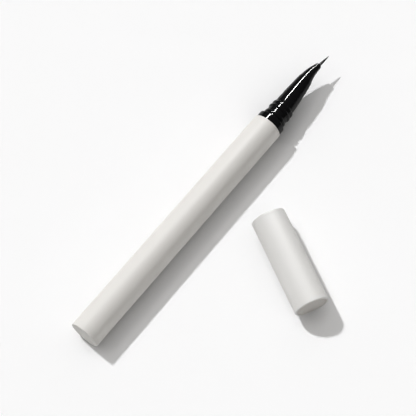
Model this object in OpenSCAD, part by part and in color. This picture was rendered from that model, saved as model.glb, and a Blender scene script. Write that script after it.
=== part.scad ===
// Liquid eyeliner pen with a curved brush applicator, lying on a table with its cap taken off beside it.
// X runs along the pen towards the brush and Z is up from the table.
// The origin lies on the table, under the middle of the box that holds the pen and its cap.

/* [Barrel] */
// Outside radius of the barrel
barrel_r = 5.25; // [4.8:0.05:6]
// Length of the pen's white body, with the tail plug's flange
barrel_l = 94.5; // [88:0.5:110]
// Wall of the barrel
barrel_wall = 0.85; // [0.7:0.05:1]
// Edge round at the barrel's mouth
lip_round = 0.22; // [0.1:0.02:0.25]
// Distance of the fine turned line from the mouth
mouth_line_at = 0.65; // [0.5:0.05:1]
// Depth of the fine turned line
mouth_line_depth = 0.06; // [0.04:0.01:0.1]

/* [Tail plug] */
// Thickness of the plug's flange
tail_flange = 0.9; // [0.6:0.05:1.4]
// Edge round of the flange
tail_round = 0.3; // [0.1:0.05:0.5]
// Length of the plug's stem inside the barrel
tail_stem_l = 5.6; // [4:0.2:7]
// Wall of the plug's stem
tail_stem_wall = 0.9; // [0.6:0.05:1.2]
// Thickness of the plug's closed end
tail_floor = 1.8; // [1.5:0.1:2.4]

/* [Ink tank] */
// Wall of the ink tank
tank_wall = 0.6; // [0.4:0.05:0.8]
// Length of the stopper inside the tank
stopper_l = 4.8; // [4:0.2:7]
// Thickness of the stopper's head
stopper_head = 0.8; // [0.6:0.1:1.2]
// Wire radius of the stopper's sealing ring
stopper_ring_wire = 0.45; // [0.35:0.05:0.6]
// Radius of the steel mixing ball
ball_r = 1.5; // [1.2:0.05:1.7]
// Distance of the ball from the tail face
ball_at = 35; // [25:1:45]

/* [Ink feed] */
// Length of the finned collector
comb_l = 24; // [16:1:30]
// Radius of the collector's core
comb_core_r = 1.9; // [1.6:0.05:2.2]
// Distance from one fin to the next
fin_pitch = 0.8; // [0.7:0.05:1.2]
// Thickness of a fin
fin_t = 0.35; // [0.25:0.05:0.45]
// Thickness of the collector's flange
comb_flange = 0.8; // [0.6:0.1:1.2]
// Length of the spigot in front of the flange
spigot_l = 3; // [2:0.2:4]
// Width of the ink slit through the fins
ink_slit = 0.25; // [0.2:0.05:0.4]
// Room for air round the spigot, inside the snap collar
spigot_room = 0.45; // [0.3:0.05:0.6]
// Width of the air slot through the fins
air_slot = 0.9; // [0.6:0.05:1.2]
// Radius of the fibre relay core
relay_r = 0.95; // [0.8:0.05:1.1]
// Reach of the relay core behind the collector
relay_tail = 3; // [1:0.5:5]
// Distance of the relay core's front end past the barrel's mouth
relay_nose = 6.8; // [5:0.2:8]
// Thickness of the gasket behind the collector's flange
gasket_t = 0.5; // [0.4:0.05:0.8]

/* [Snap collar] */
// Length of the collar's stem in the barrel
collar_stem_l = 9; // [7:0.5:12]
// Step from the barrel down to the flange that the cap meets
flange_step = 0.25; // [0.15:0.05:0.35]
// Length of that flange past the barrel's mouth
flange_l = 2.4; // [1.8:0.1:3]
// Step from the flange down to the neck between the rings
neck_step = 1.08; // [1:0.02:1.15]
// Height of the first two rings on the neck
ring_rise = 0.33; // [0.25:0.01:0.36]
// Height of the front ring, on which the inner cap seals
seal_ring_rise = 0.14; // [0.1:0.01:0.18]
// Distance of the first ring from the barrel's mouth
first_ring_at = 3.8; // [3.7:0.05:4]
// Width of the first ring
first_ring_w = 1.3; // [1.1:0.05:1.4]
// Distance of the second ring from the barrel's mouth
second_ring_at = 6.45; // [6.3:0.05:6.6]
// Width of the second ring
second_ring_w = 1.2; // [1:0.05:1.3]
// Distance of the front ring from the barrel's mouth
seal_ring_at = 8.12; // [8.02:0.02:8.14]
// Width of the front ring
seal_ring_w = 1.1; // [0.9:0.05:1.1]
// Length of the collar past the barrel's mouth
collar_l = 8.9; // [8.7:0.1:9.2]
// Wall of the collar's neck
collar_wall = 1.02; // [0.95:0.01:1.2]

/* [Nozzle cone] */
// Length of the leaning cone
cone_l = 12.7; // [11:0.1:14]
// Step from the collar's neck down to the cone's base
cone_step = 0.32; // [0.25:0.01:0.4]
// How much smaller the cone's radius is at its front
cone_taper = 1.08; // [1:0.02:1.2]
// Rise of the cone's front centre above the pen's axis
cone_rise = 1.1; // [0.6:0.05:1.15]
// Drift of the cone's front centre to the pen's left
cone_drift = 0.48; // [0.2:0.02:0.6]
// Length of the cone's stem in the collar
cone_stem_l = 4; // [3:0.2:6]
// Depth of the socket for the curved tip
socket_l = 2.8; // [2:0.1:4]
// Wall of the cone and of the curved tip's stem
cone_wall = 0.5; // [0.4:0.02:0.56]

/* [Curved tip] */
// Length of the curved tip past the cone
tip_l = 7.2; // [6.5:0.1:8]
// Step from the cone's front down to the tip
tip_step = 0.16; // [0.08:0.01:0.3]
// Radius of the tip at its end
tip_end_r = 1.05; // [0.98:0.01:1.15]
// Rise of the tip's end above the pen's axis
tip_rise = 1.42; // [1:0.05:1.5]
// Drift of the tip's end to the pen's left
tip_drift = 0.05; // [-0.3:0.05:0.3]
// Sideways swing of the bend between the cone and the end
tip_swing = 0.32; // [0.1:0.02:0.4]
// Radius of the bore that holds the brush's root
tip_bore_r = 0.82; // [0.78:0.01:0.86]
// Radius of the hole that the brush leaves through
tip_hole_r = 0.57; // [0.54:0.01:0.62]
// Edge break round the tip's end
tip_edge = 0.07; // [0.04:0.01:0.1]

/* [Brush] */
// Length of the bristles past the nozzle
bristle_l = 5; // [4:0.1:6]
// Radius of the bristle bundle where it leaves the nozzle
bundle_r = 0.52; // [0.46:0.01:0.54]
// Number of bristles
bristles = 320; // [300:10:400]
// Rise of the brush's point above the pen's axis
point_rise = 1.46; // [1:0.02:1.8]
// Drift of the brush's point to the pen's left
point_drift = -0.39; // [-0.6:0.01:0.2]
// Radius of the melted button at the bristles' root
button_r = 0.76; // [0.7:0.01:0.8]
// Thickness of that button
button_t = 0.5; // [0.4:0.05:0.7]
// Depth of the button behind the nozzle's end
button_depth = 2.7; // [2.2:0.1:3]
// Length of the sleeve that holds the button
retainer_l = 1.8; // [1.4:0.1:2]
// Radius of the sleeve's bore
retainer_bore_r = 0.56; // [0.5:0.02:0.64]
// Radius of the fibre wick behind the brush
wick_r = 0.44; // [0.38:0.01:0.46]

/* [Cap] */
// Length of the cap
cap_l = 33.6; // [33:0.2:36]
// Wall of the cap
cap_wall = 0.8; // [0.65:0.05:0.85]
// Edge round of the cap's mouth and closed end
cap_round = 0.34; // [0.1:0.02:0.4]
// Thickness of the disc that closes the cap
disc_t = 0.85; // [0.7:0.05:1]
// Width of the cap's rim round that disc
disc_rim = 0.62; // [0.5:0.02:0.7]
// Thickness of the ledge that the disc rests on
ledge_t = 0.8; // [0.6:0.05:1]
// Depth of the disc's face below the rim
disc_recess = 0.1; // [0.02:0.02:0.15]
// Distance of the liner from the cap's mouth
liner_at = 0.1; // [0:0.05:0.2]
// Length of the liner
liner_l = 4.8; // [4.4:0.1:5]
// Room between the collar's rings and the liner
ring_room = 0.11; // [0.08:0.01:0.2]
// Bite of the liner's snap bead behind the rings
bead_bite = 0.17; // [0.1:0.01:0.2]
// Width of the liner's snap bead
bead_w = 1.3; // [1:0.05:1.4]

/* [Inner cap] */
// Travel of the inner cap against its spring
inner_travel = 1.25; // [0.8:0.05:1.3]
// Room left behind the inner cap's end when it has gone back by its travel
travel_room = 0.3; // [0.2:0.05:0.5]
// Step from the inner cap's wide bore down to its slim bore
slim_step = 1; // [0.9:0.05:1.1]
// Wall of the inner cap
inner_wall = 0.45; // [0.35:0.05:0.5]
// Length of the slim end
slim_l = 7.7; // [7:0.1:8.5]
// Length of the guiding hub at the inner cap's mouth
hub_l = 1.4; // [1.2:0.1:2]
// Bite of the sealing ring's hole behind the front ring
seal_bite = 0.16; // [0.12:0.01:0.2]
// Thickness of the sealing ring
seal_t = 0.9; // [0.6:0.05:1.1]
// Thickness of the spring's wire
spring_wire = 0.36; // [0.3:0.02:0.42]
// Number of the spring's curls
spring_curls = 7; // [5:1:8]

/* [Place on the table] */
// Distance of the cap's mouth from the pen's tail, along the pen
cap_x = 68.1; // [60:0.5:75]
// Distance of the cap's mouth from the pen's axis, to its left
cap_y = -20.75; // [-26:0.25:-19]
// Heading of the cap's closed end, from the pen's heading
cap_turn = -117.6; // [-130:0.2:-100]

/* [Hidden] */
$fn = 96;

// clearances: a seat that is pressed or glued, a sliding fit, and a face that another nearly meets
seat_gap = 0.02;
slide_gap = 0.08;
face_gap = 0.05;
// overrun of every cut
cut = 1;
// edge break of the small inner pieces
edge = 0.15;

// barrel, tank and feed, measured along the pen from its tail face
bore_r = barrel_r - barrel_wall;
plug_end = tail_flange + tail_stem_l;
tank_r = bore_r - face_gap;
tank_bore_r = tank_r - tank_wall;
collar_rear = barrel_l - collar_stem_l;
comb_face = collar_rear - comb_flange;
tank_end = comb_face - gasket_t;
stopper_face = plug_end + face_gap;
tank_start = stopper_face + stopper_head;
comb_rear = comb_face - comb_l;
fin_r = tank_bore_r - slide_gap;
fins = floor((comb_l - fin_pitch) / fin_pitch);
relay_start = comb_rear - relay_tail;
relay_end = barrel_l + relay_nose;
relay_bore_r = relay_r + seat_gap;

// nose, measured along the pen from the barrel's mouth
ring_at = [first_ring_at, second_ring_at, seal_ring_at];
ring_w = [first_ring_w, second_ring_w, seal_ring_w];
flange_r = barrel_r - flange_step;
neck_r = flange_r - neck_step;
ring_r = neck_r + ring_rise;
seal_ring_r = neck_r + seal_ring_rise;
collar_bore_r = neck_r - collar_wall;
cone_base_r = neck_r - cone_step;
cone_front_r = cone_base_r - cone_taper;
tip_root_r = cone_front_r - tip_step;
cone_end = collar_l + cone_l;
tip_end = cone_end + tip_l;
point_at = tip_end + bristle_l;
spigot_r = collar_bore_r - spigot_room;
cone_stem_r = collar_bore_r - seat_gap;
socket_r = (tip_root_r + cone_front_r) / 2 - cone_wall;
tip_stem_r = socket_r - seat_gap;
loft_sides = 40;
cone_steps = 8;
tip_steps = 12;
// how the cone's bulge follows its length
cone_bulge = 1.4;
// how far along the bend its two handles lie
handle_share = 1 / 3;
// share of the tip's rise that the bend's front handle keeps below its end
handle_rise_share = 0.2;
// where along the cone's leaning centre line the wick bends
wick_shares = [0.1, 0.4, 0.7, 1];

// points in the nose: up from the axis, right of the axis, and along from the mouth
cone_front = [cone_rise, -cone_drift, cone_end];
tip_front = [tip_rise, -tip_drift, tip_end];
brush_point = [point_rise, -point_drift, point_at];
cone_slope = [cone_rise, -cone_drift] / cone_l;
bend_rear = [cone_rise + cone_slope[0] * tip_l * handle_share, -cone_drift - tip_swing,
    cone_end + tip_l * handle_share];
bend_front = [tip_rise - (tip_rise - cone_rise) * handle_rise_share,
    -tip_drift - tip_swing - (cone_drift - tip_drift) * handle_share, tip_end - tip_l * handle_share];
brush_way = (brush_point - tip_front) / norm(brush_point - tip_front);

// cap, measured along its axis from its mouth
cap_bore_r = flange_r + slide_gap;
cap_r = cap_bore_r + cap_wall;
liner_bore_r = ring_r + ring_room;
bead_r = ring_r - bead_bite;
inner_bore_r = neck_r + slide_gap;
slim_bore_r = inner_bore_r - slim_step;
seal_hole_r = seal_ring_r - seal_bite;
disc_r = cap_r - disc_rim;
disc_face = cap_l - disc_recess;
disc_inner = disc_face - disc_t;
ledge_r = cap_bore_r - disc_rim / 2;
liner_end = liner_at + liner_l;
// the bead catches halfway between the collar's first two rings when the liner meets the flange
bead_at = (ring_at[0] + ring_at[1]) / 2 - flange_l + liner_at;
inner_at = liner_end + 2 * face_gap;
inner_end = disc_inner - travel_room - inner_travel;
hub_r = cap_bore_r - slide_gap;
recess_r = inner_bore_r + inner_wall;
slim_r = slim_bore_r + inner_wall;
step_at = inner_end - slim_l;
taper_l = inner_bore_r - slim_bore_r + slim_r - slim_bore_r + inner_wall;
spring_r = (slim_r + recess_r) / 2;
spring_from = step_at + spring_wire / 2 + face_gap;
spring_to = disc_inner - spring_wire / 2 - face_gap;
spring_rise = (spring_to - spring_from) / spring_curls;
spring_rings = 8;
spring_sides = 6;

// middle of the box round the pen and its cap
middle_x = (barrel_l + point_at) / 2;
middle_y = (barrel_r + cap_y - (cap_l - cap_round) * abs(sin(cap_turn))
    - (cap_r - cap_round) * abs(cos(cap_turn)) - cap_round) / 2;

// points of a round stretch in a plane, from angle a to angle b
function arc(centre, r, a, b, steps = 6) =
    [for (i = [0 : steps]) centre + r * [cos(a + (b - a) * i / steps), sin(a + (b - a) * i / steps)]];

// outline of a rounded ring that stands on a neck
function ring_bump(at, w, neck, top, steps = 8) =
    [for (i = [0 : steps]) [neck + (top - neck) * sin(180 * i / steps), at - w / 2 * cos(180 * i / steps)]];

// a cubic bend through its two ends and two handles, and its direction
function bend(a, b, c, d, k) =
    a * pow(1 - k, 3) + b * 3 * k * pow(1 - k, 2) + c * 3 * k * k * (1 - k) + d * pow(k, 3);
function bend_way(a, b, c, d, k) =
    let (v = (b - a) * 3 * pow(1 - k, 2) + (c - b) * 6 * k * (1 - k) + (d - c) * 3 * k * k) v / norm(v);

// a ring of points round a centre, square to a direction
function loop(centre, way, r, sides, turn = 0) =
    let (side = cross(way, [1, 0, 0]), right = side / norm(side), up = cross(right, way))
    [for (i = [0 : sides - 1]) centre + r * (cos(turn + 360 * i / sides) * up
        + sin(turn + 360 * i / sides) * right)];

// a skin over rings: closed round on itself, or closed by its first and last ring
module skin(rings, ends) {
    m = len(rings);
    n = len(rings[0]);
    points = [for (ring = rings) for (p = ring) p];
    last = ends ? m - 2 : m - 1;
    sides = [for (i = [0 : last]) for (j = [0 : n - 1])
        let (a = i * n + j, b = i * n + (j + 1) % n, d = (i + 1) % m * n + j, c = d - j + (j + 1) % n)
        for (face = [[a, b, c], [a, c, d]]) face];
    caps = ends ? [[for (j = [n - 1 : -1 : 0]) j], [for (j = [0 : n - 1]) (m - 1) * n + j]] : [];
    polyhedron(points = points, faces = concat(sides, caps), convexity = 6);
}

// the pen's own frame: Z along the pen, X up and Y to the pen's right
module on_pen() {
    translate([-middle_x, -middle_y, barrel_r]) rotate([0, 90, 0]) rotate([0, 0, 180]) children();
}

// the cap's own frame: Z from its mouth to its closed end
module on_cap() {
    translate([cap_x - middle_x, cap_y - middle_y, cap_r]) rotate([0, 90, cap_turn]) children();
}

module barrel() {
    mouth = barrel_l - lip_round;
    line = barrel_l - mouth_line_at;
    line_start = line - mouth_line_depth;
    line_end = line + mouth_line_depth;
    outline = concat(
        [[bore_r, tail_flange], [barrel_r - seat_gap, tail_flange], [barrel_r, tail_flange + seat_gap]],
        [[barrel_r, line_start], [barrel_r - mouth_line_depth, line], [barrel_r, line_end]],
        arc([barrel_r - lip_round, mouth], lip_round, 0, 90),
        [[bore_r + seat_gap, barrel_l], [bore_r, barrel_l - seat_gap]]);
    color("gainsboro") on_pen() rotate_extrude() polygon(outline);
}

module tail_plug() {
    stem_r = bore_r - seat_gap;
    hollow_r = stem_r - tail_stem_wall;
    outline = concat(
        [[0, 0]],
        arc([barrel_r - tail_round, tail_round], tail_round, -90, 0),
        [[barrel_r, tail_flange - seat_gap], [barrel_r - seat_gap, tail_flange]],
        [[stem_r, tail_flange], [stem_r, plug_end - edge], [stem_r - edge, plug_end]],
        [[hollow_r, plug_end], [hollow_r, tail_floor], [0, tail_floor]]);
    color("gainsboro") on_pen() rotate_extrude() polygon(outline);
}

module ink_tank() {
    outline = [[tank_bore_r + edge, tank_start], [tank_r, tank_start], [tank_r, tank_end],
        [tank_bore_r + edge, tank_end], [tank_bore_r, tank_end - edge], [tank_bore_r, tank_start + edge]];
    color("whitesmoke") on_pen() rotate_extrude() polygon(outline);
}

module tank_stopper() {
    body_r = tank_bore_r - seat_gap;
    front = tank_start + stopper_l;
    groove_at = tank_start + stopper_l / 2;
    groove_r = tank_bore_r - 2 * stopper_ring_wire - seat_gap;
    half = stopper_ring_wire + seat_gap;
    outline = [[0, stopper_face], [tank_r - edge, stopper_face], [tank_r, stopper_face + edge],
        [tank_r, tank_start - seat_gap], [body_r, tank_start - seat_gap],
        [body_r, groove_at - half], [groove_r, groove_at - half], [groove_r, groove_at + half],
        [body_r, groove_at + half], [body_r, front - 2 * edge], [body_r - 2 * edge, front], [0, front]];
    color("lightgray") on_pen() rotate_extrude() polygon(outline);
}

module stopper_ring() {
    groove_at = tank_start + stopper_l / 2;
    wire = stopper_ring_wire - seat_gap / 2;
    color("dimgray") on_pen() translate([0, 0, groove_at]) rotate_extrude()
        translate([tank_bore_r - stopper_ring_wire - seat_gap / 2, 0]) circle(wire, $fn = 32);
}

module mixing_ball() {
    color("silver") on_pen() translate([-(tank_bore_r - ball_r - face_gap), 0, ball_at]) sphere(ball_r);
}

module collector() {
    slit_reach = 2 * fin_r;
    bore_l = comb_l + comb_flange + spigot_l + 2 * cut;
    color("white") on_pen() {
        difference() {
            union() {
                translate([0, 0, comb_rear]) cylinder(h = comb_l, r = comb_core_r);
                for (i = [0 : fins - 1])
                    translate([0, 0, comb_rear + fin_pitch * (i + 0.5)]) cylinder(h = fin_t, r = fin_r);
                translate([0, 0, comb_face]) cylinder(h = comb_flange - seat_gap, r = tank_r);
                translate([0, 0, comb_face]) cylinder(h = comb_flange + spigot_l, r = spigot_r);
            }
            translate([0, 0, comb_rear - cut]) cylinder(h = bore_l, r = relay_bore_r);
            translate([comb_core_r, -ink_slit / 2, comb_rear - cut])
                cube([slit_reach, ink_slit, comb_l - fin_pitch / 2 + cut]);
            translate([-comb_core_r - slit_reach, -air_slot / 2, comb_rear - cut])
                cube([slit_reach, air_slot, comb_l - fin_pitch / 2 + cut]);
        }
    }
}

module collector_gasket() {
    outline = [[fin_r + seat_gap, tank_end + seat_gap], [tank_r, tank_end + seat_gap],
        [tank_r, comb_face - seat_gap], [fin_r + seat_gap, comb_face - seat_gap]];
    color("dimgray") on_pen() rotate_extrude() polygon(outline);
}

module relay_core() {
    outline = [[0, relay_start], [relay_r - edge, relay_start], [relay_r, relay_start + edge],
        [relay_r, relay_end - edge], [relay_r - edge, relay_end], [0, relay_end]];
    color("linen") on_pen() rotate_extrude() polygon(outline);
}

module snap_collar() {
    stem_r = bore_r - seat_gap;
    tops = [ring_r, ring_r, seal_ring_r];
    outline = concat(
        [[collar_bore_r, -collar_stem_l], [stem_r - edge, -collar_stem_l], [stem_r, edge - collar_stem_l]],
        [[stem_r, 0], [flange_r, 0]],
        arc([flange_r - lip_round, flange_l - lip_round], lip_round, 0, 90),
        arc([neck_r + edge, flange_l + edge], edge, 270, 180, 3),
        [for (i = [0 : 2]) for (p = ring_bump(ring_at[i], ring_w[i], neck_r, tops[i])) p],
        [[cone_base_r + edge, collar_l], [collar_bore_r, collar_l]]);
    color("black") on_pen() translate([0, 0, barrel_l]) rotate_extrude() polygon(outline);
}

// the cone's radius and centre at a share of its length
function cone_radius(k) = cone_base_r + (cone_front_r - cone_base_r) * pow(k, cone_bulge);
function cone_centre(k) = [cone_rise * k, -cone_drift * k, collar_l + cone_l * k];

module nozzle_cone() {
    straight = [0, 0, 1];
    socket_share = 1 - socket_l / cone_l;
    rings = concat(
        [loop([0, 0, collar_l - cone_stem_l], straight, cone_stem_r - edge, loft_sides)],
        [loop([0, 0, collar_l - cone_stem_l + edge], straight, cone_stem_r, loft_sides)],
        [loop([0, 0, collar_l + seat_gap], straight, cone_stem_r, loft_sides)],
        [loop([0, 0, collar_l + seat_gap], straight, cone_base_r, loft_sides)],
        [for (i = [1 : cone_steps - 1]) loop(cone_centre(i / cone_steps), straight,
            cone_radius(i / cone_steps), loft_sides)],
        [loop(cone_centre(1) - [0, 0, seat_gap * 2], straight, cone_front_r, loft_sides)],
        [loop(cone_centre(1), straight, cone_front_r - 2 * seat_gap, loft_sides)],
        [loop(cone_centre(1), straight, socket_r, loft_sides)],
        [loop(cone_centre(socket_share), straight, socket_r, loft_sides)],
        [loop(cone_centre(socket_share), straight, socket_r - edge, loft_sides)],
        [loop([0, 0, collar_l - cone_stem_l], straight, collar_bore_r - cone_wall, loft_sides)]);
    color("black") on_pen() translate([0, 0, barrel_l]) skin(rings, false);
}

// the curved tip's centre, direction and radius at a share of its bend
function tip_centre(k) = bend(cone_front, bend_rear, bend_front, tip_front, k);
function tip_way(k) = bend_way(cone_front, bend_rear, bend_front, tip_front, k);
function tip_radius(k) = tip_root_r + (tip_end_r - tip_root_r) * k;
// a point on the brush's axis, a distance behind the nozzle's end
function behind(d) = tip_front - brush_way * d;

module curved_tip() {
    straight = [0, 0, 1];
    stem_share = 1 - (socket_l - 2 * seat_gap) / cone_l;
    bore_depth = button_depth + button_t + retainer_l;
    hole_depth = button_depth - seat_gap;
    rings = concat(
        [loop(cone_centre(stem_share), straight, tip_stem_r, loft_sides)],
        [loop(cone_centre(1) + [0, 0, seat_gap], straight, tip_stem_r, loft_sides)],
        [loop(cone_centre(1) + [0, 0, seat_gap], straight, tip_root_r, loft_sides)],
        [for (i = [1 : tip_steps - 1]) loop(tip_centre(i / tip_steps), tip_way(i / tip_steps),
            tip_radius(i / tip_steps), loft_sides)],
        [loop(tip_centre(1) - tip_way(1) * tip_edge, tip_way(1), tip_end_r, loft_sides)],
        [loop(tip_centre(1), tip_way(1), tip_end_r - tip_edge, loft_sides)],
        [loop(tip_centre(1), tip_way(1), tip_hole_r, loft_sides)],
        [loop(behind(hole_depth), brush_way, tip_hole_r, loft_sides)],
        [loop(behind(hole_depth), brush_way, tip_bore_r, loft_sides)],
        [loop(behind(bore_depth), brush_way, tip_bore_r, loft_sides)],
        [loop(cone_centre(stem_share), straight, tip_stem_r - cone_wall, loft_sides)]);
    color("black") on_pen() translate([0, 0, barrel_l]) skin(rings, false);
}

module tip_wick() {
    straight = [0, 0, 1];
    sides = 10;
    near = button_depth + button_t + face_gap;
    far = button_depth + button_t + retainer_l + tip_bore_r;
    rings = concat(
        [loop([0, 0, relay_nose + face_gap], straight, wick_r, sides)],
        [loop([0, 0, collar_l - wick_r], straight, wick_r, sides)],
        [for (k = wick_shares) loop(cone_centre(k), straight, wick_r, sides)],
        [loop(behind(far), brush_way, wick_r, sides)],
        [loop(behind(near), brush_way, wick_r, sides)]);
    color("ivory") on_pen() translate([0, 0, barrel_l]) skin(rings, true);
}

// how much of the bundle's width is left at the point, and of a bristle's own width
bundle_taper_share = 0.35;
bristle_taper_share = 0.26;
// share of the length by which the outermost bristles fall short of the point
trim_share = 0.5;
// share of the room between bristles that a bristle fills
fill_share = 0.72;
// each bristle's turn from the last, which spreads them evenly
golden_turn = 137.508;

// a bristle's section: three sides round its axis, narrowed and drawn in towards the point
function section(out, turn, w, z) =
    [for (i = [0 : 2]) let (a = turn + 120 * i)
        [out * cos(turn) + w * cos(a), out * sin(turn) + w * sin(a), z]];

// one bristle: a slender spike, rooted in the bundle's face
function bristle(k) =
    let (turn = golden_turn * k, reach = 1 - trim_share * sqrt(k / bristles),
        w = bundle_r / sqrt(bristles) * fill_share, out = (bundle_r - w) * sqrt((k + 0.5) / bristles),
        drawn = 1 - (1 - bundle_taper_share) * reach, slim = 1 - (1 - bristle_taper_share) * reach)
    concat(section(out, turn, w, -button_t / 2),
        section(out * drawn, turn, w * slim, norm(brush_point - tip_front) * reach));
spike_faces = [[0, 1, 2], [5, 4, 3], [0, 3, 4], [0, 4, 1], [1, 4, 5], [1, 5, 2], [2, 5, 3], [2, 3, 0]];

// puts a shape that points along Z on the brush's axis, at the nozzle's end
module on_brush() {
    on_pen() translate([0, 0, barrel_l]) translate(tip_front)
        rotate([0, acos(brush_way[2]), atan2(brush_way[1], brush_way[0])]) children();
}

module brush() {
    spikes = [for (k = [0 : bristles - 1]) for (p = bristle(k)) p];
    faces = [for (k = [0 : bristles - 1]) for (face = spike_faces) [for (i = face) i + 2 * 3 * k]];
    color("black") on_brush() {
        translate([0, 0, -button_depth - button_t]) cylinder(h = button_t, r = button_r);
        translate([0, 0, -button_depth - button_t / 2]) cylinder(h = button_depth, r = bundle_r);
        polyhedron(points = spikes, faces = faces, convexity = 10);
    }
}

module brush_retainer() {
    sleeve_r = tip_bore_r - seat_gap;
    rear = face_gap - retainer_l;
    outline = [[retainer_bore_r, rear], [sleeve_r - face_gap, rear], [sleeve_r, rear + face_gap],
        [sleeve_r, -seat_gap], [retainer_bore_r, -seat_gap]];
    color("dimgray") on_brush() translate([0, 0, -button_depth - button_t]) rotate_extrude() polygon(outline);
}

module cap_shell() {
    outline = concat(
        [[cap_bore_r, edge]],
        [[cap_bore_r + edge, 0]],
        arc([cap_r - cap_round, cap_round], cap_round, -90, 0),
        arc([cap_r - cap_round, cap_l - cap_round], cap_round, 0, 90),
        [[disc_r + face_gap, cap_l], [disc_r, cap_l - face_gap], [disc_r, disc_inner]],
        [[ledge_r, disc_inner], [ledge_r, disc_inner - ledge_t], [cap_bore_r, disc_inner - 2 * ledge_t]]);
    color("gainsboro") on_cap() rotate_extrude() polygon(outline);
}

module cap_end_disc() {
    plate_r = disc_r - seat_gap;
    outline = [[0, disc_inner + seat_gap], [plate_r, disc_inner + seat_gap], [plate_r, disc_face - face_gap],
        [plate_r - face_gap, disc_face], [0, disc_face]];
    color("gainsboro") on_cap() rotate_extrude() polygon(outline);
}

module cap_liner() {
    sleeve_r = cap_bore_r - seat_gap;
    bead = ring_bump(bead_at, bead_w, liner_bore_r, bead_r);
    outline = concat(
        [[liner_bore_r + edge, liner_at], [sleeve_r, liner_at]],
        [[sleeve_r, liner_end], [liner_bore_r, liner_end]],
        [for (i = [len(bead) - 1 : -1 : 0]) bead[i]],
        [[liner_bore_r, liner_at + edge]]);
    color("white") on_cap() rotate_extrude() polygon(outline);
}

module inner_cap() {
    bottom = inner_end - inner_wall;
    seat = inner_at + seal_t + 2 * face_gap;
    hub_end = inner_at + hub_l;
    outline = concat(
        [[recess_r, inner_at], [hub_r - edge, inner_at], [hub_r, inner_at + edge], [hub_r, hub_end]],
        [[recess_r, hub_end + hub_r - recess_r], [recess_r, step_at], [slim_r, step_at]],
        arc([slim_r - inner_wall, inner_end - inner_wall], inner_wall, 0, 90, 4),
        [[0, inner_end], [0, bottom], [slim_bore_r, bottom], [slim_bore_r, step_at - inner_wall]],
        [[inner_bore_r, step_at - taper_l], [inner_bore_r, seat], [recess_r, seat]]);
    color("white") on_cap() rotate_extrude() polygon(outline);
}

module inner_cap_seal() {
    outer_r = recess_r - seat_gap;
    front = inner_at + face_gap;
    outline = concat(
        arc([seal_hole_r + edge, front + edge], edge, 180, 270, 4),
        [[outer_r, front], [outer_r, front + seal_t], [seal_hole_r, front + seal_t]]);
    color("gray") on_cap() rotate_extrude() polygon(outline);
}

// a point on the spring's wire, a number of curls from its seat
function spring_point(c) =
    [spring_r * cos(360 * c), spring_r * sin(360 * c), spring_from + spring_rise * c];
spring_path = [for (i = [0 : spring_curls * spring_rings]) spring_point(i / spring_rings)];
spring_gap = min([for (i = [0 : len(spring_path) - 1])
    for (j = [i + spring_rings - 2 : 1 : i + spring_rings + 2])
    if (j < len(spring_path)) norm(spring_path[i] - spring_path[j])]) - spring_wire;
echo(least_gap_between_the_spring_curls = spring_gap);

module cap_spring() {
    curl_l = 2 * PI * spring_r;
    rings = [for (i = [0 : spring_curls * spring_rings])
        let (c = i / spring_rings, way = [-sin(360 * c) * curl_l, cos(360 * c) * curl_l, spring_rise],
            out = [cos(360 * c), sin(360 * c), 0], up = cross(way / norm(way), out))
        [for (j = [0 : spring_sides - 1]) let (a = 360 * j / spring_sides)
            spring_point(c) + spring_wire / 2 * (cos(a) * out + sin(a) * up)]];
    color("silver") on_cap() skin(rings, true);
}

barrel();
tail_plug();
ink_tank();
tank_stopper();
stopper_ring();
mixing_ball();
collector();
collector_gasket();
relay_core();
snap_collar();
nozzle_cone();
curved_tip();
tip_wick();
brush();
brush_retainer();
cap_shell();
cap_end_disc();
cap_liner();
inner_cap();
inner_cap_seal();
cap_spring();
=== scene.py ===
import math
import random

import bmesh
import bpy
from mathutils import Matrix, Vector


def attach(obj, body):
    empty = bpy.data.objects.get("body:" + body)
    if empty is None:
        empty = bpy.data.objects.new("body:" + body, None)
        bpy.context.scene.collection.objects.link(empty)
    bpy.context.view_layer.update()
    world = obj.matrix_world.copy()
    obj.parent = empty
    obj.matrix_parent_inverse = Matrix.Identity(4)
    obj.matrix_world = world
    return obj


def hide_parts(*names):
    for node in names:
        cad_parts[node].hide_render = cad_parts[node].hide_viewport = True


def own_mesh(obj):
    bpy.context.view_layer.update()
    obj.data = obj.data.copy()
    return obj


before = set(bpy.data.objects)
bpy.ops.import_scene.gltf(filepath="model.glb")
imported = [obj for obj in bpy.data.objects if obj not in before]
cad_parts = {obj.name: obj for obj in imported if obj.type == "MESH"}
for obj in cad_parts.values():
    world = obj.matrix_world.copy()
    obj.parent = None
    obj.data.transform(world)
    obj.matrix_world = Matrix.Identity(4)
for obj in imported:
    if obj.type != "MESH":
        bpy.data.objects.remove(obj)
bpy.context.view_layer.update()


# Table, light and camera.
# A white table top under a small lamp high on the pen's left, in a pale surround that fills the shadows. A
# strip lamp draws the line on glossy pieces. The camera looks down steeply from behind the pen's right side.
def stand(name, data):
    """Puts an object that carries the given data into the scene."""
    thing = bpy.data.objects.new(name, data)
    bpy.context.collection.objects.link(thing)
    return thing


def add_node(tree, kind, values=None, **settings):
    """A shader node with its settings made and the given values on its inputs."""
    node = tree.nodes.new("ShaderNode" + kind)
    for name, value in settings.items():
        setattr(node, name, value)
    for name, value in (values or {}).items():
        node.inputs[name].default_value = value
    return node


target = Vector((-0.00385, 0.02221, 0))
eye = Vector((-0.14105, -0.08815, 0.4210))
camera_data = bpy.data.cameras.new("camera")
camera_data.lens = 118.57
camera_data.sensor_width = 36
camera = stand("camera", camera_data)
camera.location = eye
camera.rotation_euler = (target - eye).to_track_quat("-Z", "Y").to_euler()
bpy.context.scene.camera = camera
bpy.context.scene.view_settings.view_transform = "Standard"

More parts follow.
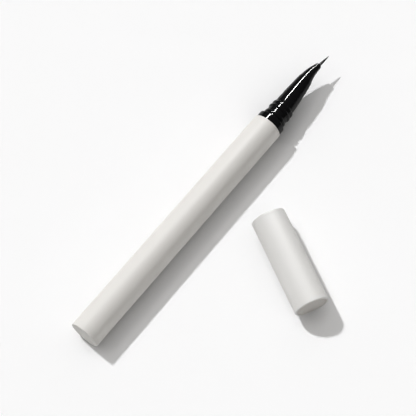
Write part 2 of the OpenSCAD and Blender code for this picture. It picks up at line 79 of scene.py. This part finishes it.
lamp_way = Vector((0.10, 0.949, 1))
lamp_data = bpy.data.lights.new("lamp", "SUN")
lamp_data.energy = 2.16
lamp_data.angle = math.radians(3.2)
lamp_data.color = (0.99, 0.995, 1)
lamp = stand("lamp", lamp_data)
lamp.rotation_euler = lamp_way.to_track_quat("Z", "Y").to_euler()

strip_aim = Vector((0.045, 0.024, 0.006))
strip_way = Vector((0.58, 0.416, 0.70)).normalized()
strip_away = 0.8
strip_long = (Vector((1, 0, 0)) - strip_way * strip_way.x).normalized()
strip_turn = Matrix((strip_long, strip_way.cross(strip_long), strip_way)).transposed()
strip_data = bpy.data.lights.new("strip_lamp", "AREA")
strip_data.shape = "RECTANGLE"
strip_data.size = 0.5
strip_data.size_y = 0.03
strip_data.energy = 19
strip = stand("strip_lamp", strip_data)
strip.matrix_world = Matrix.Translation(strip_aim + strip_way * strip_away) @ strip_turn.to_4x4()
strip.visible_diffuse = False

brightest_way = (0.35, -0.05, 0.93)
mirrored_share = 0.22
world = bpy.data.worlds.new("surround")
bpy.context.scene.world = world
world.use_nodes = True
sky = world.node_tree
sky.nodes.clear()
sky_out = add_node(sky, "OutputWorld")
seen = add_node(sky, "LightPath")
heading = add_node(sky, "TexCoord")
lampwards = add_node(sky, "VectorMath", {1: brightest_way}, operation="DOT_PRODUCT")
wash = add_node(sky, "MapRange", {"From Min": -0.5, "From Max": 1, "To Min": 0.12, "To Max": 0.575})
dimmed = add_node(sky, "MapRange", {"To Min": 1, "To Max": mirrored_share})
strength = add_node(sky, "Math", operation="MULTIPLY")
fill = add_node(sky, "Background", {"Color": (1, 0.992, 0.97, 1)})
backdrop = add_node(sky, "Background", {"Color": (0.965, 0.965, 0.965, 1), "Strength": 1})
choose = add_node(sky, "MixShader")
sky.links.new(heading.outputs["Generated"], lampwards.inputs[0])
sky.links.new(lampwards.outputs["Value"], wash.inputs["Value"])
sky.links.new(seen.outputs["Is Glossy Ray"], dimmed.inputs["Value"])
sky.links.new(wash.outputs["Result"], strength.inputs[0])
sky.links.new(dimmed.outputs["Result"], strength.inputs[1])
sky.links.new(strength.outputs["Value"], fill.inputs["Strength"])
sky.links.new(seen.outputs["Is Camera Ray"], choose.inputs["Fac"])
sky.links.new(fill.outputs["Background"], choose.inputs[1])
sky.links.new(backdrop.outputs["Background"], choose.inputs[2])
sky.links.new(choose.outputs["Shader"], sky_out.inputs["Surface"])

table_half = 3
table_mesh = bpy.data.meshes.new("table_top")
table_top = stand("table_top", table_mesh)
bm = bmesh.new()
bmesh.ops.create_grid(bm, x_segments=1, y_segments=1, size=table_half)
bm.to_mesh(table_mesh)
bm.free()

table_paint = bpy.data.materials.new("table_paint")
table_paint.use_nodes = True
paint = table_paint.node_tree
table_shader = paint.nodes["Principled BSDF"]
table_shader.inputs["Roughness"].default_value = 0.9
table_shader.inputs["Specular IOR Level"].default_value = 0.1


def painted_shade_share(reach, way, least_open, fully_open, darkest):
    """Painted shade: the share of its colour that the table keeps where pieces stand close by on the given
    side.
    """
    openness = add_node(paint, "AmbientOcclusion", {"Distance": reach}, samples=16)
    side = add_node(paint, "CombineXYZ", dict(zip("XYZ", way)))
    kept = add_node(paint, "MapRange", {"From Min": least_open, "From Max": fully_open,
                                        "To Min": darkest, "To Max": 1})
    paint.links.new(side.outputs["Vector"], openness.inputs["Normal"])
    paint.links.new(openness.outputs["AO"], kept.inputs["Value"])
    return kept


# Painted shade on the table as the camera sees it: darkest beside the pieces on the side away from the lamp,
# and a faint painted shade beside them on the lamp's side too.
painted_shade_shaded_floor = painted_shade_share(reach=0.0075, way=(0.1, 0.9, 0.6), least_open=0, fully_open=0.84, darkest=0.43)
painted_shade_lit_floor = painted_shade_share(reach=0.02, way=(-0.1, -0.9, 0.6), least_open=0.3, fully_open=0.86, darkest=0.93)
lit_white = (0.95, 0.95, 0.95, 1)
mirrored_grey = (0.65, 0.65, 0.65, 1)
seen_white = (0.993, 0.991, 1)
looked_at = add_node(paint, "LightPath")
mirrored = add_node(paint, "Mix", {"A": lit_white, "B": mirrored_grey}, data_type="RGBA")
painted_shade_total = add_node(paint, "Math", operation="MULTIPLY")
shaded = add_node(paint, "VectorMath", {0: seen_white}, operation="SCALE")
table_colour = add_node(paint, "Mix", data_type="RGBA")
paint.links.new(looked_at.outputs["Is Glossy Ray"], mirrored.inputs["Factor"])
paint.links.new(painted_shade_shaded_floor.outputs["Result"], painted_shade_total.inputs[0])
paint.links.new(painted_shade_lit_floor.outputs["Result"], painted_shade_total.inputs[1])
paint.links.new(painted_shade_total.outputs["Value"], shaded.inputs["Scale"])
paint.links.new(looked_at.outputs["Is Camera Ray"], table_colour.inputs["Factor"])
paint.links.new(mirrored.outputs["Result"], table_colour.inputs["A"])
paint.links.new(shaded.outputs["Vector"], table_colour.inputs["B"])
paint.links.new(table_colour.outputs["Result"], table_shader.inputs["Base Color"])
table_mesh.materials.append(table_paint)


# Barrel.
# The pen's body is one long plastic tube with a soft-touch lacquer. Its mouth has a rounded edge with a fine
# turned line close behind it, and the black collar is pushed into it.
barrel_r, barrel_bore_r, barrel_length = 5.25, 4.4, 94.5
flange_t, seam_gap, seam_depth, seam_slope = 0.9, 0.02, 0.02, 0.03
line_at, line_depth, line_half = 93.85, 0.06, 0.05
edge_rounding = 0.22
tail_x, pen_y = -64.15, 23.940896
millimetres = Matrix.Scale(0.001, 4)
pen_place = millimetres @ Matrix(((0, 0, 1, tail_x), (0, -1, 0, pen_y), (1, 0, 0, barrel_r), (0, 0, 0, 1)))
smooth_up_to = math.radians(40)
same_place, same_edge = 0.0002, 0.002
thin_cloud, thick_cloud = 0.3, 0.7


def marks_group():
    """Cloudy variation and fine grain that moulded and lacquered surfaces share."""
    group = bpy.data.node_groups.new("surface_marks", "ShaderNodeTree")
    for name, start in (("Cloud Scale", 120.0), ("Grain Scale", 6000.0)):
        socket = group.interface.new_socket(name, in_out="INPUT", socket_type="NodeSocketFloat")
        socket.default_value = start
    for name in ("Cloud", "Grain"):
        group.interface.new_socket(name, in_out="OUTPUT", socket_type="NodeSocketFloat")
    given = group.nodes.new("NodeGroupInput")
    put = group.nodes.new("NodeGroupOutput")
    where = add_node(group, "TexCoord")
    for name, detail in (("Cloud", 3.0), ("Grain", 2.0)):
        noise = add_node(group, "TexNoise", {"Detail": detail})
        group.links.new(where.outputs["Object"], noise.inputs["Vector"])
        group.links.new(given.outputs[name + " Scale"], noise.inputs["Scale"])
        group.links.new(noise.outputs["Fac"], put.inputs[name])
    return group


surface_marks = marks_group()


def finish_material(name, light, dark, rough, cloud=120.0, grain=6000.0, bump=0.05, depth=0.00002, **sockets):
    """A material whose colour and roughness drift with the cloud, and whose surface has the grain."""
    material = bpy.data.materials.new(name)
    material.use_nodes = True
    tree = material.node_tree
    shader = tree.nodes["Principled BSDF"]
    marks = add_node(tree, "Group", {"Cloud Scale": cloud, "Grain Scale": grain}, node_tree=surface_marks)
    colours = add_node(tree, "Mix", {"A": (*dark, 1), "B": (*light, 1)}, data_type="RGBA")
    gloss = add_node(tree, "MapRange", {"From Min": thin_cloud, "From Max": thick_cloud,
                                        "To Min": rough[0], "To Max": rough[1]})
    dents = add_node(tree, "Bump", {"Strength": bump, "Distance": depth})
    tree.links.new(marks.outputs["Cloud"], colours.inputs["Factor"])
    tree.links.new(colours.outputs["Result"], shader.inputs["Base Color"])
    tree.links.new(marks.outputs["Cloud"], gloss.inputs["Value"])
    tree.links.new(gloss.outputs["Result"], shader.inputs["Roughness"])
    tree.links.new(marks.outputs["Grain"], dents.inputs["Height"])
    tree.links.new(dents.outputs["Normal"], shader.inputs["Normal"])
    for socket, value in sockets.items():
        shader.inputs[socket.replace("_", " ")].default_value = value
    return material


def place_piece(name, bm, place, material):
    """Turns the drafted shape into a finished piece at its place on the pen or the cap."""
    bmesh.ops.remove_doubles(bm, verts=bm.verts, dist=same_place)
    bmesh.ops.recalc_face_normals(bm, faces=bm.faces)
    bmesh.ops.transform(bm, matrix=place, verts=bm.verts)
    for face in bm.faces:
        face.smooth = True
    mesh = bpy.data.meshes.new(name)
    bm.to_mesh(mesh)
    bm.free()
    mesh.set_sharp_from_angle(angle=smooth_up_to)
    mesh.materials.append(material)
    piece = stand(name, mesh)
    normals = piece.modifiers.new("even_shading", "WEIGHTED_NORMAL")
    normals.keep_sharp = True
    return piece


def turn_outline(outline, rounds, steps=128):
    """A shape turned about its axis from radii and heights, with each corner in rounds rounded off."""
    bm = bmesh.new()
    corners = [bm.verts.new((r, 0, z)) for r, z in outline]
    lines = [bm.edges.new(pair) for pair in zip(corners, corners[1:])]
    if outline[0][0] > 0 or outline[-1][0] > 0:
        lines.append(bm.edges.new((corners[-1], corners[0])))
    bmesh.ops.spin(bm, geom=corners + lines, cent=(0, 0, 0), axis=(0, 0, 1), angle=math.tau, steps=steps,
                   use_merge=True)
    bmesh.ops.remove_doubles(bm, verts=bm.verts, dist=same_place)
    for (r, z), radius in rounds.items():
        rim = [edge for edge in bm.edges
               if all(abs(math.hypot(v.co.x, v.co.y) - r) < same_edge and abs(v.co.z - z) < same_edge
                      for v in edge.verts)]
        bmesh.ops.bevel(bm, geom=rim, offset=radius, affect="EDGES", segments=4, profile=0.5, material=-1,
                        clamp_overlap=True)
    return bm


soft_white = finish_material("soft_touch_lacquer", light=(0.72, 0.702, 0.676), dark=(0.705, 0.687, 0.661),
                             rough=(0.46, 0.54), cloud=90, grain=9000, Specular_IOR_Level=0.2,
                             Sheen_Weight=0.02, Sheen_Roughness=0.4)
barrel_rear = flange_t + seam_gap
barrel_mouth = (barrel_r, barrel_length)
barrel_outline = [(barrel_bore_r, barrel_rear), (barrel_r - seam_depth, barrel_rear),
                  (barrel_r, barrel_rear + seam_slope), (barrel_r, line_at - line_half),
                  (barrel_r - line_depth, line_at), (barrel_r, line_at + line_half), barrel_mouth,
                  (barrel_bore_r, barrel_length)]
barrel_tube = place_piece("barrel_tube", turn_outline(barrel_outline, {barrel_mouth: edge_rounding}),
                          pen_place, soft_white)
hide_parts("barrel")
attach(barrel_tube, "pen")


# Tail plug.
# A moulded plug of the same lacquered plastic, pressed into the barrel's rear end. Only its thin flange
# shows, with a hairline seam where it meets the barrel and a softly rounded edge round the flat end.
plug_r, plug_bore_r, plug_floor, plug_length, lead_in = 4.38, 3.48, 1.8, 6.5, 0.15
tail_edge = (barrel_r, 0)
plug_front = (plug_r, plug_length)
plug_outline = [(0, 0), tail_edge, (barrel_r, flange_t - seam_gap), (barrel_r - seam_depth, flange_t),
                (plug_r, flange_t), plug_front, (plug_bore_r, plug_length), (plug_bore_r, plug_floor),
                (0, plug_floor)]
plug_rounds = {tail_edge: edge_rounding, plug_front: lead_in}
tail_plug = place_piece("tail_plug_moulding", turn_outline(plug_outline, plug_rounds), pen_place, soft_white)
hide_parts("tail_plug")
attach(tail_plug, "pen")


# Ink tank, its stopper and the mixing ball.
# The tank is a milky tube that slides into the barrel and holds the free ink. A stopper with a rubber ring
# closes its rear end, and a steel ball rolls in the ink to stir it when the pen is shaken.
natural_plastic = finish_material("milky_plastic", light=(0.83, 0.84, 0.82), dark=(0.78, 0.79, 0.77),
                                  rough=(0.3, 0.42), cloud=160, grain=5000)
seal_rubber = finish_material("seal_rubber", light=(0.06, 0.06, 0.063), dark=(0.045, 0.045, 0.047),
                              rough=(0.5, 0.65), cloud=400, grain=9000, bump=0.15)
ball_steel = finish_material("bearing_steel", light=(0.62, 0.62, 0.63), dark=(0.56, 0.56, 0.57),
                             rough=(0.07, 0.13), cloud=500, grain=9000, bump=0.02, Metallic=1.0)


def dress(node, material):
    """Gives a construction piece that keeps its own shape its finished material."""
    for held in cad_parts[node].material_slots:
        held.material = material


dress("ink_tank", natural_plastic)
dress("tank_stopper", natural_plastic)
dress("stopper_ring", seal_rubber)
dress("mixing_ball", ball_steel)


# Collector and its gasket.
# A comb of thin fins on a hollow core, moulded in one piece. The gaps between the fins take up surplus ink,
# so the plastic is stained by it. A flat rubber gasket seals it against the tank's rim.
ink_plastic = finish_material("ink_stained_plastic", light=(0.24, 0.24, 0.26), dark=(0.05, 0.05, 0.055),
                              rough=(0.22, 0.38), cloud=260, bump=0.06)
dress("collector", ink_plastic)
dress("collector_gasket", seal_rubber)


# Relay core.
# A rod of bonded fibre soaked with black ink. It lies in the collector's bore, with its rear end in the tank
# and its front end in the nozzle, and carries the ink forward.
along_fibres, across_fibres = 300, 14000
dark_until, light_from = 0.35, 0.7


def fibre_material():
    """Fine fibres along the rod, dark with ink."""
    material = bpy.data.materials.new("inked_fibre")
    material.use_nodes = True
    tree = material.node_tree
    shader = tree.nodes["Principled BSDF"]
    shader.inputs["Roughness"].default_value = 0.6
    where = add_node(tree, "TexCoord")
    stretch = add_node(tree, "Mapping", {"Scale": (along_fibres, across_fibres, across_fibres)})
    noise = add_node(tree, "TexNoise", {"Scale": 1, "Detail": 4})
    tones = add_node(tree, "ValToRGB")
    dark, light = tones.color_ramp.elements
    dark.position = dark_until
    dark.color = (0.008, 0.008, 0.01, 1)
    light.position = light_from
    light.color = (0.05, 0.05, 0.055, 1)
    ridges = add_node(tree, "Bump", {"Strength": 0.4, "Distance": 0.00003})
    tree.links.new(where.outputs["Object"], stretch.inputs["Vector"])
    tree.links.new(stretch.outputs["Vector"], noise.inputs["Vector"])
    tree.links.new(noise.outputs["Fac"], tones.inputs["Fac"])
    tree.links.new(tones.outputs["Color"], shader.inputs["Base Color"])
    tree.links.new(noise.outputs["Fac"], ridges.inputs["Height"])
    tree.links.new(ridges.outputs["Normal"], shader.inputs["Normal"])
    return material


inked_fibre = fibre_material()
relay_r, relay_rear, relay_front, relay_steps = 0.95, 57.7, 101.3, 48
relay_ends = [(relay_r, relay_rear), (relay_r, relay_front)]
relay_outline = [(0, relay_rear), *relay_ends, (0, relay_front)]
relay_rounds = dict.fromkeys(relay_ends, lead_in)
relay = place_piece("relay_fibre", turn_outline(relay_outline, relay_rounds, relay_steps), pen_place,
                    inked_fibre)
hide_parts("relay_core")
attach(relay, "pen")


# Snap collar.
# A polished black moulding, pushed into the barrel's mouth. Its flange stops the cap, two round rings catch
# the cap's bead, and the third, slimmer ring seals the inner cap.
gloss_black = finish_material("polished_black", light=(0.005, 0.005, 0.0055), dark=(0.003, 0.003, 0.0035),
                              rough=(0.07, 0.11), cloud=350, grain=3500, bump=0.03, depth=0.000005,
                              Specular_IOR_Level=0.22)
nose_place = pen_place @ Matrix.Translation((0, 0, barrel_length))
collar_bore_r, shank_r, shank_length = 2.9, 4.38, 9
flange_r, flange_front = 5.0, 2.4
neck_r, foot_rounding = 3.92, 0.12
collar_end_r, collar_front = 3.75, 8.9
ring_steps = 10


def ring_outline(at, width, top):
    """Half an oval that stands on the neck."""
    turns = [math.pi * step / ring_steps for step in range(ring_steps + 1)]
    return [(neck_r + (top - neck_r) * math.sin(turn), at - width / 2 * math.cos(turn)) for turn in turns]


shank_rear = (shank_r, -shank_length)
flange_edge = (flange_r, flange_front)
flange_foot = (neck_r, flange_front)
collar_outline = [(collar_bore_r, -shank_length), shank_rear, (shank_r, 0), (flange_r, 0), flange_edge,
                  flange_foot]
collar_outline += ring_outline(at=3.8, width=1.3, top=4.25)
collar_outline += ring_outline(at=6.45, width=1.2, top=4.25)
collar_outline += ring_outline(at=8.12, width=1.1, top=4.06)
collar_outline += [(collar_end_r, collar_front), (collar_bore_r, collar_front)]
collar_rounds = {shank_rear: lead_in, flange_edge: edge_rounding, flange_foot: foot_rounding}
collar = place_piece("collar_moulding", turn_outline(collar_outline, collar_rounds), nose_place, gloss_black)
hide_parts("snap_collar")
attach(collar, "pen")


# Nozzle cone.
# A hollow black cone that plugs into the collar and leans up and to the pen's left, so that the brush can be
# held low to the skin. Its front edge stands a little proud of the curved tip.
def hoop(bm, centre, way, radius, sides):
    """A round loop of edges, square to a direction."""
    turned = Vector((0, 0, 1)).rotation_difference(Vector(way)).to_matrix().to_4x4()
    made = bmesh.ops.create_circle(bm, segments=sides, radius=radius,
                                   matrix=Matrix.Translation(centre) @ turned)
    return list({edge for vert in made["verts"] for edge in vert.link_edges})


def loft(hoops, sides, closed):
    """A skin over round loops, closed at both ends or else joined from its last loop to its first."""
    bm = bmesh.new()
    loops = [hoop(bm, centre, way, radius, sides) for centre, way, radius in hoops]
    pairs = list(zip(loops, loops[1:])) + ([] if closed else [(loops[-1], loops[0])])
    for rear, front in pairs:
        bmesh.ops.bridge_loops(bm, edges=rear + front)
    if closed:
        bmesh.ops.holes_fill(bm, edges=loops[0] + loops[-1], sides=sides)
    return bm


nose_sides = 96
straight = (0, 0, 1)
cone_length, cone_rear_r, cone_front_r, cone_curve = 12.7, 3.6, 2.52, 1.4
cone_front = Vector((1.1, -0.48, collar_front + cone_length))
cone_lip = [(0.993, 2.525), (0.998, 2.5), (1, 2.46)]
plugged_rear, plugged_r, plugged_bore_r = 4.9, 2.88, 2.4
cone_rear, cone_chamfer, cone_chamfer_length = collar_front + 0.02, 0.05, 0.04
socket_floor, socket_r, socket_bore_r = 0.7795, 1.94, 1.8
cone_steps = 16


def neck_hoop(height, radius):
    """A loop on the collar's axis."""
    return (Vector((0, 0, height)), straight, radius)


def cone_hoop(share, radius=None):
    """A loop at a share of the leaning cone's length, on its outside where no radius is given."""
    centre = Vector((cone_front.x * share, cone_front.y * share, collar_front + cone_length * share))
    return (centre, straight, radius or cone_rear_r + (cone_front_r - cone_rear_r) * share ** cone_curve)


cone_hoops = [neck_hoop(plugged_rear, plugged_r - lead_in), neck_hoop(plugged_rear + lead_in, plugged_r),
              neck_hoop(cone_rear, plugged_r), neck_hoop(cone_rear, cone_rear_r - cone_chamfer),
              neck_hoop(cone_rear + cone_chamfer_length, cone_rear_r)]
cone_hoops += [cone_hoop(step / cone_steps) for step in range(1, cone_steps)]
cone_hoops += [cone_hoop(share, radius) for share, radius in cone_lip]
cone_hoops += [cone_hoop(1, socket_r), cone_hoop(socket_floor, socket_r),
               cone_hoop(socket_floor, socket_bore_r), neck_hoop(plugged_rear, plugged_bore_r)]
cone = place_piece("cone_moulding", loft(cone_hoops, nose_sides, False), nose_place, gloss_black)
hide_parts("nozzle_cone")
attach(cone, "pen")


# Curved tip.
# A separate black moulding in the cone's socket. It swings to the pen's left and back again while it narrows,
# and its slanted end has the hole that the bristles come out of.
tip_front = Vector((1.42, -0.05, 28.8))
brush_point = Vector((1.46, 0.39, 33.8))
brush_way = (brush_point - tip_front).normalized()
bend_points = [cone_front, Vector((1.3078740157, -0.8, 24.0)), Vector((1.356, -0.5133333333, 26.4)),
               tip_front]
tip_rear_r, tip_front_r = 2.36, 1.05
tip_lip = [(0.99, 1.05), (0.996, 1.03), (1, 0.98)]
tip_foot, tip_foot_top, tip_foot_r = 1.001, 1.004, 2.32
stem_rear, stem_r, stem_bore_r = 0.7827, 1.92, 1.42
hole_r, hole_depth, sleeve_r, sleeve_depth = 0.57, 2.68, 0.82, 5.0
tip_steps = 20


def bend_at(share):
    """A place on the tip's bent axis and its heading there."""
    a, b, c, d = bend_points
    left = 1 - share
    place = a * left ** 3 + b * 3 * share * left ** 2 + c * 3 * share ** 2 * left + d * share ** 3
    way = (b - a) * left ** 2 + (c - b) * 2 * share * left + (d - c) * share ** 2
    return place, way.normalized()


def tip_hoop(share, radius=None):
    """A loop at a share of the tip's bend, on its outside where no radius is given."""
    place, way = bend_at(share)
    return (place, way, radius or tip_rear_r + (tip_front_r - tip_rear_r) * share)


def bore_hoop(depth, radius):
    """A loop on the brush's straight bore, at a depth behind the tip's front."""
    return (tip_front - brush_way * depth, brush_way, radius)


tip_hoops = [cone_hoop(stem_rear, stem_r), cone_hoop(tip_foot, stem_r), cone_hoop(tip_foot, tip_foot_r),
             cone_hoop(tip_foot_top, tip_rear_r)]
tip_hoops += [tip_hoop(step / tip_steps) for step in range(1, tip_steps)]
tip_hoops += [tip_hoop(share, radius) for share, radius in tip_lip]
tip_hoops += [tip_hoop(1, hole_r), bore_hoop(hole_depth, hole_r), bore_hoop(hole_depth, sleeve_r),
              bore_hoop(sleeve_depth, sleeve_r), cone_hoop(stem_rear, stem_bore_r)]
tip = place_piece("tip_moulding", loft(tip_hoops, nose_sides, False), nose_place, gloss_black)
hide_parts("curved_tip")
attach(tip, "pen")


# Tip wick.
# A thin rod of the same inked fibre. Its rear end touches the relay, and it leads through the leaning cone
# and the curved tip to the brush's root.
wick_r, wick_rear, wick_bend, wick_sides = 0.44, 6.86, 8.46, 24
wick_chamfer, wick_chamfer_length = 0.04, 0.06
wick_straight_rear, wick_front = 5.8, 3.25
wick_hoops = [neck_hoop(wick_rear, wick_r - wick_chamfer), neck_hoop(wick_rear + wick_chamfer_length, wick_r),
              neck_hoop(wick_bend, wick_r)]
wick_hoops += [cone_hoop(share, wick_r) for share in (0.1, 0.4, 0.7, 1)]
wick_hoops += [bore_hoop(wick_straight_rear, wick_r), bore_hoop(wick_front, wick_r)]
wick = place_piece("wick_fibre", loft(wick_hoops, wick_sides, True), nose_place, inked_fibre)
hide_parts("tip_wick")
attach(wick, "pen")


# Brush and its retainer.
# Several hundred fine tapered nylon filaments, melted together at the root and wet with ink, so that they
# close up to a sharp point. A small sleeve inside the tip holds the melted root.
bristle_black = finish_material("wet_bristles", light=(0.008, 0.008, 0.009), dark=(0.004, 0.004, 0.005),
                                rough=(0.24, 0.34), cloud=900, grain=20000, bump=0.1, depth=0.00001,
                                Specular_IOR_Level=0.2)
random.seed(7)
filaments, filament_sides, overlap = 520, 5, 1.35
bundle_r, root_sunk = 0.52, 0.25
outer_shorter, shorter_curve, shortest_share = 0.5, 1.3, 0.96
gathered, gather_curve, taper = 0.65, 1.4, 0.5
root_length, root_middle, root_sides = 2.71, -1.6, 32
button_r, button_length, button_middle, button_sides = 0.76, 0.5, -2.95, 48
brush_length = (brush_point - tip_front).length
filament_r = bundle_r / math.sqrt(filaments) * overlap
golden_turn = math.radians(137.508)

strand = bpy.data.meshes.new("one_strand")
draft = bmesh.new()
strand_loops = [hoop(draft, Vector((0, 0, share)), straight, 1, filament_sides)
                for share in (0, 0.25, 0.5, 0.75, 0.92, 1)]
for rear, front in zip(strand_loops, strand_loops[1:]):
    bmesh.ops.bridge_loops(draft, edges=rear + front)
bmesh.ops.holes_fill(draft, edges=strand_loops[0] + strand_loops[-1], sides=filament_sides)
draft.to_mesh(strand)
draft.free()

bm = bmesh.new()
for k in range(filaments):
    turn = golden_turn * k
    out = (bundle_r - filament_r) * math.sqrt((k + 0.5) / filaments)
    reach = 1 - outer_shorter * (k / filaments) ** shorter_curve
    if k > 0:
        reach *= random.uniform(shortest_share, 1.0)
    first = len(bm.verts)
    bm.from_mesh(strand)
    bm.verts.ensure_lookup_table()
    for vert in bm.verts[first:]:
        share = vert.co.z * reach
        closing = 1 - gathered * share ** gather_curve
        slim = 1 - taper * vert.co.z
        vert.co = Vector((out * closing * math.cos(turn) + vert.co.x * filament_r * slim,
                          out * closing * math.sin(turn) + vert.co.y * filament_r * slim,
                          share * (brush_length + root_sunk) - root_sunk))
bmesh.ops.create_cone(bm, cap_ends=True, segments=root_sides, radius1=bundle_r, radius2=bundle_r,
                      depth=root_length, matrix=Matrix.Translation((0, 0, root_middle)))
bmesh.ops.create_cone(bm, cap_ends=True, segments=button_sides, radius1=button_r, radius2=button_r,
                      depth=button_length, matrix=Matrix.Translation((0, 0, button_middle)))
brush_turn = Vector((0, 0, 1)).rotation_difference(brush_way).to_matrix().to_4x4()
bmesh.ops.transform(bm, matrix=nose_place @ Matrix.Translation(tip_front) @ brush_turn, verts=bm.verts)
for face in bm.faces:
    face.smooth = True
brush_mesh = bpy.data.meshes.new("brush_bristles")
bm.to_mesh(brush_mesh)
bm.free()
brush_mesh.set_sharp_from_angle(angle=math.radians(80))
brush_mesh.materials.append(bristle_black)
brush = stand("brush_bristles", brush_mesh)
bpy.data.meshes.remove(strand)
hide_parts("brush")
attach(brush, "pen")
dress("brush_retainer", natural_plastic)


# Cap shell and end disc.
# The push-on cap is a short, slightly wider tube with the same soft-touch lacquer and a fine step round its
# mouth. A disc of bare moulded plastic is pressed into its closed end, a little below the rim. Its darker
# colour is painted shade for the end face, which is turned away from the lamp.
# The cap's lacquer is a lighter copy of the barrel's. The extra lightness is painted light on the cap.
cap_lacquer_painted_light = finish_material("lighter_lacquer_painted_light", light=(0.76, 0.752, 0.735), dark=(0.745, 0.737, 0.72),
                            rough=(0.44, 0.52), cloud=90, grain=9000, Specular_IOR_Level=0.45,
                            Sheen_Weight=0.02, Sheen_Roughness=0.4)
cap_r, cap_length, mouth_x, mouth_y = 5.88, 33.6, 3.95, 3.190896
cap_turn = math.radians(-117.6)
cap_place = millimetres @ Matrix(((0, -math.sin(cap_turn), math.cos(cap_turn), mouth_x),
                                  (0, math.cos(cap_turn), math.sin(cap_turn), mouth_y),
                                  (-1, 0, 0, cap_r), (0, 0, 0, 1)))
mouth_r, mouth_chamfer, mouth_rounding, end_rounding, rim_rounding = 5.23, 0.15, 0.12, 0.34, 0.05
step_rear, step_front, step_depth = 1.2, 1.3, 0.02
cap_bore_r, bore_end, ledge_r, ledge_rear, recess_r, recess_floor = 5.08, 31.05, 4.77, 31.85, 5.26, 32.65
mouth_edge = (cap_r, 0)
end_edge = (cap_r, cap_length)
rim_edge = (recess_r, cap_length)
shell_outline = [(mouth_r, 0), mouth_edge, (cap_r, step_rear), (cap_r - step_depth, step_front), end_edge,
                 rim_edge, (recess_r, recess_floor), (ledge_r, recess_floor), (ledge_r, ledge_rear),
                 (cap_bore_r, bore_end), (cap_bore_r, mouth_chamfer)]
shell_rounds = {mouth_edge: mouth_rounding, end_edge: end_rounding, rim_edge: rim_rounding}
cap_shell = place_piece("cap_tube", turn_outline(shell_outline, shell_rounds), cap_place, cap_lacquer_painted_light)
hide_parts("cap_shell")
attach(cap_shell, "cap")

# Painted shade: the disc's darker colour stands in for the shade on the end face turned from the lamp.
disc_colour_painted_shade = finish_material("disc_colour_painted_shade", light=(0.60, 0.575, 0.55), dark=(0.54, 0.52, 0.495),
                                rough=(0.5, 0.62), cloud=700, grain=5000, bump=0.25, depth=0.00003,
                                Specular_IOR_Level=0.35)
disc_r, disc_inside, disc_outside = 5.24, 32.67, 33.5
disc_edge = (disc_r, disc_outside)
disc_outline = [(0, disc_inside), (disc_r, disc_inside), disc_edge, (0, disc_outside)]
cap_disc = place_piece("cap_disc", turn_outline(disc_outline, {disc_edge: rim_rounding}), cap_place,
                       disc_colour_painted_shade)
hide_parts("cap_end_disc")
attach(cap_disc, "cap")


# Cap liner, inner cap and seal.
# The liner is a milky sleeve with the bead that snaps behind the collar's rings. The inner cap closes round
# the nozzle so that the ink doesn't dry, and carries a soft ring that seals on the collar.
dress("cap_liner", natural_plastic)
dress("inner_cap", natural_plastic)
dress("inner_cap_seal", seal_rubber)


# Cap spring.
# A light spring of drawn steel wire behind the inner cap, which presses it on to the collar when the cap is
# on. Its turns close up towards the cap's closed end when the inner cap is pushed back.
spring_steel = finish_material("spring_wire", light=(0.6, 0.6, 0.61), dark=(0.5, 0.5, 0.51),
                               rough=(0.22, 0.32), cloud=700, grain=12000, Metallic=1.0)
spring_from, spring_to, spring_r, wire_r = 23.63, 32.42, 3.95, 0.178
curls, curl_steps, wire_sides = 7, 32, 12
wire_start = Matrix.Translation((spring_r, 0, spring_from)) @ Matrix.Rotation(math.pi / 2, 4, "X")
bm = bmesh.new()
ring = bmesh.ops.create_circle(bm, segments=wire_sides, radius=wire_r, matrix=wire_start)["verts"]
ring_edges = list({edge for vert in ring for edge in vert.link_edges})
bmesh.ops.spin(bm, geom=ring + ring_edges, cent=(0, 0, 0), axis=(0, 0, 1), angle=math.tau * curls,
               steps=curls * curl_steps, dvec=(0, 0, (spring_to - spring_from) / (curls * curl_steps)))
bmesh.ops.holes_fill(bm, edges=bm.edges, sides=wire_sides)
spring = place_piece("spring_wire", bm, cap_place, spring_steel)
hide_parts("cap_spring")
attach(spring, "cap")
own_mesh(spring)
